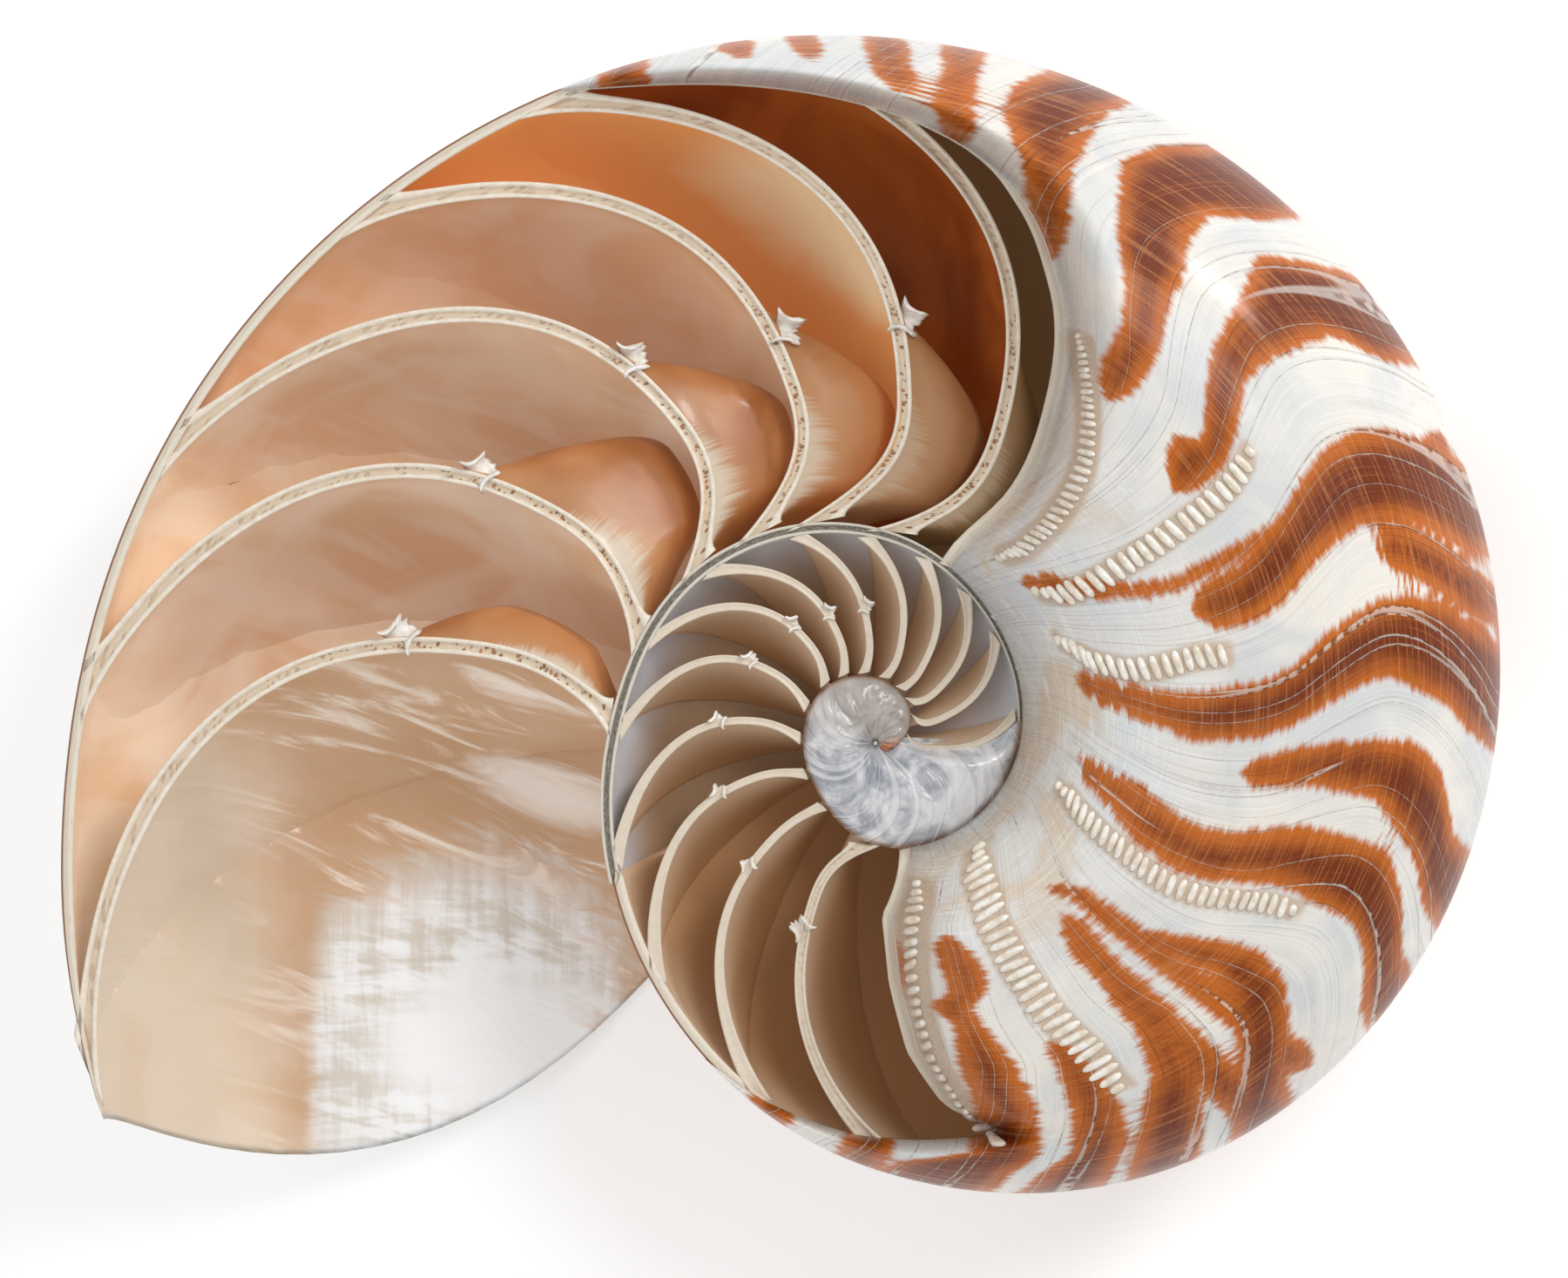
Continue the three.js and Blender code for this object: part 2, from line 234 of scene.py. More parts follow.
STRIPES = [
    [(1.02, 268, 283), (0.95, 274, 287), (0.9, 283, 291.5), (0.8, 285.7, 293.5), (0.7, 284.7, 293),
     (0.62, 285.5, 291), (0.595, 285.7, 289.7), (0.585, 281.5, 289.7), (0.565, 283, 290),
     (0.54, 286.6, 293.5), (0.5, 286.6, 295), (0.42, 286, 293.5), (0.395, 288, 292)],
    [(1.02, 286, 296), (0.95, 291, 299.5), (0.9, 296, 302.5), (0.8, 298.5, 304),
     (0.7, 299.5, 303.2),
     (0.64, 298.5, 300.5)],
    [(1.02, 299, 306.5), (0.95, 301.6, 309.7), (0.9, 304, 311.6), (0.85, 306.6, 313.5),
     (0.8, 309.7, 315.4), (0.7, 312.6, 317.5), (0.65, 312.6, 318.3), (0.585, 312.7, 316)],
    [(0.555, 313.5, 318), (0.52, 313, 318.5), (0.49, 314.5, 319.5), (0.43, 315.5, 320)],
    [(0.47, 321.5, 325), (0.43, 322, 325.5), (0.4, 317, 324), (0.375, 319.5, 321)],
    [(1.02, 311, 318.6), (0.95, 313.5, 320.4), (0.9, 316.6, 323.5), (0.85, 319.7, 327),
     (0.8, 322, 330), (0.75, 324.3, 331.3), (0.7, 325.5, 331), (0.65, 325, 329.2),
     (0.6, 323.5, 326.8), (0.53, 322.5, 324)],
    [(1.02, 329, 335.6), (0.95, 331.6, 338.5), (0.9, 336.6, 344), (0.85, 339.7, 348),
     (0.8, 340.3, 348.8), (0.7, 341, 349), (0.65, 340, 348), (0.6, 338, 346), (0.55, 337.3, 345.4),
     (0.5, 338.5, 346.6), (0.45, 340.5, 350), (0.4, 344.5, 352.5), (0.35, 349, 355.5),
     (0.3, 357, 361)],
    [(1.02, 341, 348.8), (0.95, 343.5, 351), (0.9, 348, 357.5), (0.85, 351, 360), (0.8, 354, 360.4),
     (0.7, 355, 360), (0.65, 354.5, 359.3), (0.6, 354, 357.8), (0.56, 355, 356.5)],
    [(1.02, 358.5, 368), (0.95, 361, 371), (0.9, 364, 374), (0.85, 366, 375.4), (0.8, 368, 376),
     (0.75, 367.2, 375), (0.7, 365.4, 373.5), (0.65, 363, 370.4), (0.6, 361.6, 369.2),
     (0.5, 361, 369), (0.45, 363.5, 370.5), (0.4, 366.6, 373.5), (0.35, 370.5, 377),
     (0.3, 378, 385)],
    [(1.02, 370, 373), (0.95, 372, 377), (0.9, 375, 380.5), (0.85, 378, 383), (0.8, 380, 383.5)],
    [(1.02, 376, 384), (0.95, 378.5, 388.5), (0.9, 381.6, 391.4), (0.85, 383.5, 393.3),
     (0.8, 384.7, 393.4), (0.75, 384, 392.2), (0.7, 382.3, 390), (0.65, 379.8, 388.4),
     (0.6, 378.5, 386), (0.55, 379, 386.5), (0.505, 380.5, 386)],
    [(0.5, 387.5, 389.2), (0.45, 389.5, 392.3), (0.4, 393.3, 397), (0.36, 396.5, 403),
     (0.33, 400, 410), (0.31, 406, 417)],
    [(1.02, 394, 402), (0.95, 397, 408), (0.9, 402.3, 412), (0.85, 403.5, 411),
     (0.8, 404.7, 410.3), (0.75, 405, 409.6), (0.7, 401.6, 407), (0.65, 399, 403.3),
     (0.62, 399, 406), (0.59, 399, 405),
     (0.56, 398.5, 402)],
    [(1.02, 410, 419), (0.95, 413.7, 424.7), (0.9, 418, 427), (0.85, 418.5, 426),
     (0.8, 417.2, 424.7), (0.75, 416.6, 421.8), (0.7, 414.8, 419.8), (0.64, 414.3, 419.5),
     (0.58, 415.3, 417.5)],
    [(1.02, 427.5, 434), (0.95, 430.5, 438.2), (0.9, 431, 438.4), (0.85, 431.5, 436),
     (0.78, 429.9, 433.2), (0.72, 429.5, 431.5)],
    [(1.02, 440.8, 444.7), (0.95, 441.6, 444.2), (0.9, 441.6, 445), (0.85, 440, 443)],
    [(1.02, 448, 451.2), (0.95, 447.2, 450.4), (0.9, 445.4, 449)],
    [(1.02, 455.4, 457.6), (0.94, 454, 456)],
    [(1.02, 461, 463.4), (0.96, 459, 462.4)],
]
# The same stripes run on over the underside, where they keep a steadier beat.
STRIPES += [
    [(1.02, g - 7, g - 1), (0.85, g - 3, g + 3), (0.6, g - 2, g + 4), (0.42, g + 3, g + 7)]
    for g in (214, 228, 243, 257, 271)
]
STRIPES += [
    [(1.02, g - 2, g + 2), (0.93, g, g + 3.5), (0.82, g + 2, g + 4)]
    for g in (470, 481, 493, 507, 524)
]
STRIPE_EDGES = [
    (
        stripe[-1][0],
        stripe[0][0],
        [(share, low) for share, low, _ in reversed(stripe)],
        [(share, high) for share, _, high in reversed(stripe)],
    )
    for stripe in STRIPES
]


def stripe_depth(growth, radius):
    """How far inside a stripe a place is, in mm; below 0 between stripes."""
    r = rim(growth)
    share = radius / r
    best = -4.0
    for first, last, lows, highs in STRIPE_EDGES:
        ends = min(share - first, last + 0.5 - share) * r
        if ends < -4:
            continue
        low, high = between(lows, share), between(highs, share)
        if high < growth - 12 or low > growth + 12:
            continue
        inside = min(growth - low, high - growth) * RAD * radius
        best = max(best, inside - max(0, 3 - ends) ** 2 / 3.5)
    return clamp(best, -4, 4)


# Sutures: (share of the rim radius, growth) along each, rib length and rib spacing in mm.
SUTURES = [
    ([(0.3, 287), (0.4, 281), (0.5, 278.8), (0.6, 278.8), (0.7, 279.9),
      (0.8, 283), (0.88, 287)], 3.6, 1.25),
    ([(0.26, 316), (0.3, 308.5), (0.4, 303), (0.5, 302), (0.6, 302.5),
      (0.7, 304.5), (0.8, 305)], 3.6, 1.2),
    ([(0.3, 348), (0.35, 342), (0.4, 338.5), (0.5, 335), (0.55, 334.5), (0.6, 335), (0.65, 336.6),
      (0.7, 338), (0.76, 338.5)], 2.4, 1.1),
    ([(0.31, 391), (0.35, 381), (0.4, 376.6), (0.45, 375.5), (0.5, 375.6),
      (0.56, 374.5)], 2.7, 1.15),
    ([(0.32, 405), (0.35, 399), (0.4, 397), (0.5, 396), (0.6, 396),
      (0.65, 396.6), (0.7, 398.5)], 2.9, 1.25),
    ([(0.32, 417), (0.35, 413.5), (0.4, 412), (0.45, 412.2), (0.5, 413.5),
      (0.55, 416.6), (0.6, 420), (0.66, 424)], 3.0, 0.95),
]


def suture_depth(growth, radius):
    """How far inside a ribbed band a place is, in mm; below 0 outside."""
    r = rim(growth)
    share = radius / r
    best = -2.0
    for line, length, _ in SUTURES:
        aside = abs(growth - between(line, share)) * RAD * radius
        ends = min(share - line[0][0], line[-1][0] - share) * r
        best = max(best, min(length / 2 - aside, ends))
    return best


# Growth lines bend like the stripes do: degrees forward, by share of the rim radius.
BEND_FROM, BEND_STEP = 0.25, 0.05
YOUNG_BEND = [20, 12, 7, 2, 1.5, 1, 0.5, 0, 0.5, 1, -0.2, -1.5, -3.5, -6, -8.5, -11]
OLD_BEND = [22, 16, 9, 5, 2, 0.5, 0, 0.3, 1.5, 4, 6, 7, 6, 3.5, 0, -4]


def line_growth(growth, radius):
    place = (radius / rim(growth) - BEND_FROM) / BEND_STEP
    old = smooth(growth, 300, 350)
    return growth - mix(through(YOUNG_BEND, place), through(OLD_BEND, place), old)


# ---- Making pieces ----

KEYS = ("chamber", "growth", "share", "stripe", "line", "depth", "edge", "along", "suture")


def make_piece(name, us, columns, place, finishes, finish_of=None):
    """A closed skin: a grid with each corner set by place(u, column), its seams merged."""
    mesh = bmesh.new()
    layers = {key: mesh.verts.layers.float.new(key) for key in KEYS}
    rows, sides = len(us) - 1, len(columns) - 1
    bmesh.ops.create_grid(mesh, x_segments=rows, y_segments=sides, size=0.5)
    for face in mesh.faces:
        middle = face.calc_center_median()
        column, row = int((middle.y + 0.5) * sides), int((middle.x + 0.5) * rows)
        face.material_index = finish_of(column, row) if finish_of else 0
        face.smooth = True
    for vert in mesh.verts:
        u = us[round((vert.co.x + 0.5) * rows)]
        column = columns[round((vert.co.y + 0.5) * sides)]
        vert.co, values = place(u, column)
        for key, value in values.items():
            vert[layers[key]] = value
    bmesh.ops.remove_doubles(mesh, verts=mesh.verts, dist=MERGE)
    return finish_piece(name, mesh, finishes)


def finish_piece(name, mesh, finishes):
    bmesh.ops.recalc_face_normals(mesh, faces=mesh.faces)
    bmesh.ops.transform(mesh, matrix=TO_FRAME, verts=mesh.verts)
    data = bpy.data.meshes.new(name)
    mesh.to_mesh(data)
    mesh.free()
    piece = bpy.data.objects.new(name, data)
    bpy.context.collection.objects.link(piece)
    for finish in finishes:
        data.materials.append(finish)
    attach(piece, "root")
    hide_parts("shell")
    return piece


def steps(low, high, count):
    return [mix(low, high, k / count) for k in range(count + 1)]


def rough(point, size, seed=0.0):
    """Smooth unevenness between -1 and 1 with bumps of this size in mm."""
    return noise.noise(Vector(point) / size + Vector((seed, seed * 1.7, -seed)))


# ---- Materials ----


class Wire:
    """A value in a material's node tree, which can be calculated with."""

    def __init__(self, tree, socket):
        self.tree = tree
        self.socket = socket

    def node(self, kind, settings, values, output=0):
        """Adds any node: its settings first, then its values and links."""
        made = self.tree.nodes.new(kind)
        for name, value in settings.items():
            setattr(made, name, value)
        for key, value in values.items():
            if isinstance(value, Wire):
                self.tree.links.new(value.socket, made.inputs[key])
            else:
                made.inputs[key].default_value = value
        return Wire(self.tree, made.outputs[output])

    def math(self, operation, first, second=0.0, use_clamp=False):
        settings = {"operation": operation, "use_clamp": use_clamp}
        return self.node("ShaderNodeMath", settings, {0: first, 1: second})

    def __add__(self, other):
        return self.math("ADD", self, other)

    def __radd__(self, other):
        return self.math("ADD", other, self)

    def __sub__(self, other):
        return self.math("SUBTRACT", self, other)

    def __rsub__(self, other):
        return self.math("SUBTRACT", other, self)

    def __mul__(self, other):
        return self.math("MULTIPLY", self, other)

    def __rmul__(self, other):
        return self.math("MULTIPLY", other, self)

    def __truediv__(self, other):
        return self.math("DIVIDE", self, other)

    def power(self, other):
        return self.math("POWER", self, other)

    def most(self, other):
        return self.math("MAXIMUM", self, other)

    def least(self, other):
        return self.math("MINIMUM", self, other)

    def far(self):
        return self.math("ABSOLUTE", self)

    def rise(self, low, high):
        """0 below low, 1 above high, smooth between."""
        settings = {"interpolation_type": "SMOOTHSTEP"}
        return self.node("ShaderNodeMapRange", settings, {0: self, 1: low, 2: high, 3: 0.0, 4: 1.0})

    def blend(self, first, second):
        """The first colour where this is 0, the second where it is 1."""
        settings = {"data_type": "RGBA", "clamp_factor": True}
        return self.node("ShaderNodeMix", settings, {0: self, 6: first, 7: second}, 2)


def colour(red, green, blue):
    """A colour given as it looks on a screen, 0 to 255."""
    return tuple((part / 255) ** 2.2 for part in (red, green, blue)) + (1.0,)


class Finish:
    """A material being made."""

    def __init__(self, name):
        self.material = bpy.data.materials.new(name)
        self.material.use_nodes = True
        self.tree = self.material.node_tree
        self.shader = self.tree.nodes["Principled BSDF"]
        self.start = Wire(self.tree, None)
        spot = self.start.node("ShaderNodeTexCoord", {}, {}, "Object")
        self.spot = self.start.node(
            "ShaderNodeVectorMath",
            {"operation": "MULTIPLY_ADD"},
            {0: spot, 1: (1000.0, 1000.0, 1000.0), 2: tuple(-SHELL_PLACE)},
        )

    def value(self, name):
        settings = {"attribute_type": "GEOMETRY", "attribute_name": name}
        return self.start.node("ShaderNodeAttribute", settings, {}, "Fac")

    def split(self, axis):
        return self.start.node("ShaderNodeSeparateXYZ", {}, {0: self.spot}, axis)

    def join(self, x, y, z=0.0):
        return self.start.node("ShaderNodeCombineXYZ", {}, {0: x, 1: y, 2: z})

    def cloud(self, place, scale, detail=3.0, roughness=0.5, distortion=0.0):
        """Soft noise, about 0.5 on average."""
        values = {"Vector": place, "Scale": scale, "Detail": detail, "Roughness": roughness,
                  "Distortion": distortion}
        return self.start.node("ShaderNodeTexNoise", {}, values, "Fac")

    def cells(self, place, scale, feature="F1"):
        values = {"Vector": place, "Scale": scale}
        return self.start.node("ShaderNodeTexVoronoi", {"feature": feature}, values, "Distance")

    def turned(self, x, y, degrees, stretch_x, stretch_y):
        """The place in the saw plane, turned and stretched."""
        cos, sin = math.cos(degrees * RAD), math.sin(degrees * RAD)
        return self.join((x * cos + y * sin) * stretch_x, (y * cos - x * sin) * stretch_y)

    def done(self, base, roughness, bump=None, strength=0.3, distance=0.0004, coat=0.0, shine=0.5,
             glow=0.0):
        """Wires the surface up; glow is the light that comes through the thin shell."""
        self.shader.inputs["Emission Strength"].default_value = glow
        inputs = (("Base Color", base), ("Roughness", roughness), ("Emission Color", base))
        for key, value in inputs:
            if isinstance(value, Wire):
                self.tree.links.new(value.socket, self.shader.inputs[key])
            else:
                self.shader.inputs[key].default_value = value
        self.shader.inputs["Specular IOR Level"].default_value = shine
        self.shader.inputs["Coat Weight"].default_value = coat
        self.shader.inputs["Coat Roughness"].default_value = 0.12
        if bump:
            values = {"Height": bump, "Strength": strength, "Distance": distance}
            normal = self.start.node("ShaderNodeBump", {}, values, "Normal")
            self.tree.links.new(normal.socket, self.shader.inputs["Normal"])
        return self.material


def striped_finish():
    """Polished outside: ivory ground, rust stripes with ragged edges, growth lines."""
    paint = Finish("striped outside")
    growth, share = paint.value("growth"), paint.value("share")
    line, stripe, suture = paint.value("line"), paint.value("stripe"), paint.value("suture")
    spiral = paint.join(growth * 0.09, share * 110)
    fine_spiral = paint.join(growth * 0.07, share * 300)
    lines = paint.join(line * 2.2, share * 1.5)
    ragged = paint.cloud(spiral, 1.0, 4.0, 0.6)
    scratches = paint.cloud(fine_spiral, 1.0, 2.0)
    growth_lines = paint.cloud(lines, 1.0, 5.0, 0.7)
    broad = paint.cloud(paint.spot, 0.09, 4.0, 0.55, 0.4)
    edge = stripe + 0.55 + (ragged - 0.5) * 2.2 + (scratches - 0.5) * 0.7
    worn = (1 - share.rise(0.36, 0.5)) * (paint.cloud(spiral, 0.6, 3.0) - 0.5) * 6
    inked = (edge - worn.most(0.0)).rise(-0.35, 0.75)
    core = (edge + (growth_lines - 0.5) * 4.5 + (broad - 0.5) * 3).rise(0.3, 3.6)
    rust = core.blend(colour(194, 102, 32), colour(110, 46, 5))
    rust = ((scratches - 0.55) * 5).least(0.3).most(0.0).blend(rust, colour(220, 150, 92))
    rust = ((growth_lines - 0.6) * 6).least(0.35).most(0.0).blend(rust, colour(208, 120, 62))
    rust = ((0.46 - growth_lines) * 8).least(0.5).most(0.0).blend(rust, colour(92, 38, 6))
    near_coil = 1 - share.rise(0.34, 0.62)
    ground = broad.rise(0.35, 0.65).blend(colour(234, 228, 218), colour(210, 212, 212))
    ground = (growth_lines.rise(0.45, 0.8) * 0.6).blend(ground, colour(246, 244, 240))
    ground = (near_coil * broad.rise(0.5, 0.62) * 0.75).blend(ground, colour(222, 200, 172))
    ground = (near_coil * (1 - broad.rise(0.38, 0.5)) * 0.6).blend(ground, colour(202, 212, 224))
    scratched = ((scratches - 0.56) * 5 * near_coil).least(0.5).most(0.0)
    ground = scratched.blend(ground, colour(248, 248, 250))
    ground = ((0.42 - growth_lines) * 6).least(0.6).most(0.0).blend(ground, colour(176, 164, 152))
    # Darker ground along the ribbed sutures: painted shade in the grooves between the ribs.
    rib_shade = suture.rise(-0.5, 0.3)
    ground = (rib_shade * 0.7).blend(ground, colour(196, 168, 138))
    crack_noise = paint.cloud(paint.join(line * 0.3, share * 0.5), 1.0, 0.0)
    crack = 1 - (crack_noise - 0.5).far().rise(0.0, 0.007)
    beside = 1 - (crack_noise - 0.508).far().rise(0.001, 0.008)
    dotted = paint.cloud(paint.join(line * 0.5, share * 90), 1.0, 1.0).rise(0.46, 0.56)
    base = inked.blend(ground, rust)
    base = (beside * 0.4).blend(base, colour(238, 234, 226))
    base = (crack * 0.6).blend(base, dotted.blend(colour(236, 228, 214), colour(104, 58, 30)))
    height = growth_lines * 0.6 + scratches * 0.2 - crack * 1.6 + beside * 0.6
    roughness = 0.2 + ragged * 0.14 + inked * 0.06
    return paint.done(base, roughness, height, 0.5, 0.0004, 0.14, 0.22)


def inside_colour(paint, soft, x, y):
    """The chambers' lining: beige near the mouth, amber and rust-brown further in, then grey-brown,
    the darker, warmer tones further in being painted shade and painted warm light.
    """
    chamber, depth = paint.value("chamber"), paint.value("depth")
    base = soft.rise(0.35, 0.65).blend(colour(238, 204, 168), colour(250, 230, 206))
    # Broad painted sheen streaks on the lining.
    sheen = paint.cloud(paint.turned(x, y, -28, 0.05, 0.16), 1.0, 4.0, 0.5, 1.0)
    base = (sheen.rise(0.5, 0.64) * 0.45).blend(base, colour(250, 236, 218))
    # Painted shade just under the saw cut, stronger from the third chamber on.
    shade = (1 - depth.rise(0.5, 7)) * (0.12 + chamber.rise(2, 3) * 0.4)
    base = shade.blend(base, colour(176, 116, 66))
    # From the third chamber on, a darker, warmer tone: painted shade and warm light.
    third = chamber.rise(2.4, 2.6) * 0.3
    base = third.blend(base, colour(224, 160, 104))
    # Fourth chamber: amber, painted warm light, with a painted yellow-white highlight where it is
    # most lit.
    amber = colour(248, 178, 106)
    across, down = ((x + 6) * 0.86 - (y - 53) * 0.5) / 17, ((x + 6) * 0.5 + (y - 53) * 0.86) / 6
    lit = 1 - (across * across + down * down + (soft - 0.5) * 2).rise(0.1, 1.5)
    golden = lit.blend(amber, colour(255, 240, 196))
    base = (chamber.rise(3.4, 3.6) * 0.92).blend(base, golden)
    # Fifth chamber: dark rust-brown, painted shade and warm light.
    rust = soft.rise(0.35, 0.65).blend(colour(142, 62, 20), colour(186, 100, 42))
    base = (chamber.rise(4.4, 4.6) * 0.95).blend(base, rust)
    # Sixth chamber on: grey-brown, painted shade.
    base = chamber.rise(5.4, 5.6).blend(base, colour(174, 136, 94))
    # Inner turn: darker with depth down each chamber, painted shade.
    pit = depth.rise(0.3, 9).blend(colour(216, 190, 162), colour(168, 126, 88))
    return (chamber.rise(11.4, 11.6)).blend(base, pit)


def nacre_finish():
    """Polished inside: the chambers' lining, and mother-of-pearl in the mouth with a painted
    highlight.
    """
    paint = Finish("nacre inside")
    chamber = paint.value("chamber")
    x, y = paint.split(0), paint.split(1)
    soft = paint.cloud(paint.spot, 0.06, 4.0, 0.5, 0.8)
    base = inside_colour(paint, soft, x, y)
    mouth = 1 - chamber.rise(0.4, 0.6)
    return pearl_mouth(paint, base, mouth, soft, x, y)


def pearl_mouth(paint, base, mouth, soft, x, y):
    """Lays the mouth's colours over the lining: a beige strip, pale wrinkles and a painted white
    highlight with a whiter core and a glint.
    """
    edge = (x + paint.cloud(paint.spot, 0.12) * 8 + y * 0.06).rise(-72, -58)
    strip = mouth * (1 - edge)
    base = (strip * 0.75).blend(base, colour(204, 188, 168))
    streaks = paint.cloud(paint.turned(x, y, -24, 0.05, 0.26), 1.0, 5.0, 0.6, 1.4)
    base = (mouth * edge * 0.8).blend(base, colour(188, 142, 100))
    wrinkles = streaks.rise(0.5, 0.68) * mouth * edge
    base = (wrinkles * 0.8).blend(base, colour(250, 240, 226))
    fine_x = paint.cloud(paint.join(x * 0.5, y * 0.05), 1.0, 4.0, 0.6, 0.4)
    fine_y = paint.cloud(paint.join(x * 0.05, y * 0.5), 1.0, 4.0, 0.6, 0.6)
    # Painted highlight on the pearl: a cross-hatched white patch with a firm left edge.
    dx, dy = (x + 50) / 17, (y + 33) / 16
    tilt = dx * dx + dy * dy - dx * dy * 0.5
    spread = tilt + (streaks - 0.5) * 3.0 + (fine_y - 0.5) * 1.0
    left = (x + 63.5 + (fine_y - 0.5) * 2.4 + (streaks - 0.5) * 1.5).rise(-1.0, 1.6)
    pearl_highlight = (1 - spread.rise(0.5, 1.7)) * mouth * left
    shade = (streaks * 0.4 + fine_x * 0.3 + fine_y * 0.3).rise(0.42, 0.56)
    base = pearl_highlight.blend(base, shade.blend(colour(216, 208, 196), colour(250, 253, 255)))
    # Painted whitest core of the highlight.
    dx, dy = (x + 44) / 13, (y + 35) / 8
    core = (1 - (dx * dx + dy * dy + (streaks - 0.5) * 2).rise(0.1, 1.5)) * pearl_highlight
    base = core.blend(base, colour(252, 254, 255))
    # A small painted glint.
    dx, dy = (x + 38) / 9, (y + 8 + (x + 38) * 0.3) / 3.4
    glint = (1 - (dx * dx + dy * dy + (streaks - 0.5) * 3).rise(0.1, 1.4)) * mouth
    base = (glint * 0.9).blend(base, colour(252, 246, 238))
    height = streaks * mouth * 1.2 + fine_x * 0.1 + fine_y * 0.1
    return paint.done(base, 0.3 + soft * 0.15, height, 0.35, 0.0007, 0.12, glow=INSIDE_GLOW)


def coil_finish():
    """The older whorls' wall: bluish mother-of-pearl near the saw cut, peach-brown further down;
    inside the chambers that darkening is painted shade.
    """
    paint = Finish("inner wall")
    soft = paint.cloud(paint.spot, 0.1, 3.0)
    depth = paint.value("depth")
    base = soft.rise(0.35, 0.65).blend(colour(196, 202, 212), colour(214, 218, 226))
    # Painted shade: peach-brown deeper down.
    base = depth.rise(2.5, 8).blend(base, colour(160, 132, 104))
    return paint.done(base, 0.35, soft, 0.1)


def sawn_finish():
    """Sawn wall: a thin rust skin and a grey-cream band."""
    paint = Finish("sawn wall")
    edge, growth = paint.value("edge"), paint.value("growth")
    grain = paint.cloud(paint.join(growth * 0.6, edge * 9), 1.0, 4.0, 0.6)
    base = edge.rise(0.10, 0.26).blend(colour(138, 88, 56), colour(214, 202, 184))
    base = (edge.rise(0.45, 0.7) * 0.7).blend(base, colour(236, 226, 208))
    base = ((0.45 - grain) * 4).least(0.5).most(0.0).blend(base, colour(176, 156, 130))
    return paint.done(base, 0.45, grain, 0.3, 0.0003)


def ring_finish():
    """Sawn wall between two whorls: a dark layer between two white ones."""
    paint = Finish("sawn inner wall")
    edge, growth = paint.value("edge"), paint.value("growth")
    grain = paint.cloud(paint.join(growth * 0.8, edge * 5), 1.0, 4.0, 0.6)
    dark = edge.rise(0.2, 0.32) * (1 - edge.rise(0.66, 0.78))
    shade = grain.rise(0.35, 0.65).blend(colour(96, 88, 76), colour(140, 132, 120))
    base = dark.blend(colour(214, 206, 192), shade)
    return paint.done(base, 0.45, grain - dark * 0.5, 0.4, 0.0003)


def septum_finish():
    """Faces of the septa: the chambers' lining in front, brown with a pale fringe behind, lighter
    near the saw cut and darker in the deeper chambers, painted light and shade.
    """
    paint = Finish("septum faces")
    depth, edge, chamber = paint.value("depth"), paint.value("edge"), paint.value("chamber")
    along, share = paint.value("along"), paint.value("share")
    x, y = paint.split(0), paint.split(1)
    soft = paint.cloud(paint.spot, 0.06, 4.0, 0.5, 0.8)
    front = inside_colour(paint, soft, x, y)
    fringe = paint.cloud(paint.join(along * 1.6, depth * 0.15), 1.0, 4.0, 0.7)
    reach = depth + (fringe - 0.5) * 2.4 + share.rise(0.4, 0.62) * 2.5
    pale = (1 - reach.rise(0.2, 1.4)) * (1 - chamber.rise(3.5, 5.0) * 0.6)
    brown = soft.rise(0.35, 0.65).blend(colour(160, 98, 54), colour(188, 128, 82))
    # Backs in the deeper chambers greyer and darker: painted shade.
    brown = (chamber.rise(3.4, 5.4) * 0.6).blend(brown, colour(146, 112, 80))
    brown = chamber.rise(5.4, 5.6).blend(brown, colour(126, 94, 60))
    # Backs lighter near the saw cut: painted light.
    low = (1 - depth.rise(0.3, 2.5)) * 0.3
    brown = low.blend(brown, colour(188, 150, 112))
    back = pale.blend(brown, colour(206, 190, 168))
    back = chamber.rise(11.4, 11.6).blend(back, front)
    base = edge.rise(-0.1, 0.1).blend(back, front)
    mouth = (1 - chamber.rise(0.4, 0.6)) * edge.rise(-0.1, 0.1)
    return pearl_mouth(paint, base, mouth, soft, x, y)


def rim_finish():
    """Sawn edges of the septa: white borders round a row of small pits."""
    paint = Finish("septum edges")
    edge, along, growth = paint.value("edge"), paint.value("along"), paint.value("growth")
    grain = paint.cloud(paint.spot, 1.2, 4.0, 0.6)
    waver = paint.cloud(paint.join(along * 0.5, edge * 0.4), 1.0, 2.0)
    holes = paint.cells(paint.join(along * 1.5, edge * 1.1), 1.0)
    core = 1 - (edge + (waver - 0.5) * 0.5).far().rise(0.34, 0.5)
    pitted = growth.rise(232, 300)
    outer = paint.value("share").rise(0.55, 0.8)
    pit = core * (1 - holes.rise(0.26, 0.42)) * (1 - outer * 0.7)
    floor = waver.rise(0.4, 0.6).blend(colour(186, 124, 80), colour(146, 100, 66))
    border = grain.rise(0.3, 0.7).blend(colour(240, 230, 214), colour(228, 214, 194))
    border = ((1 - pitted) * 0.6).blend(border, colour(208, 192, 170))
    tan = (core * 0.8).blend(border, colour(206, 182, 152))
    base = (pit * pitted).blend((pitted * 0.9).blend(border, tan), floor)
    height = grain * 0.25 - pit * pitted
    return paint.done(base, 0.4, height, 0.6, 0.0005, 0.1)


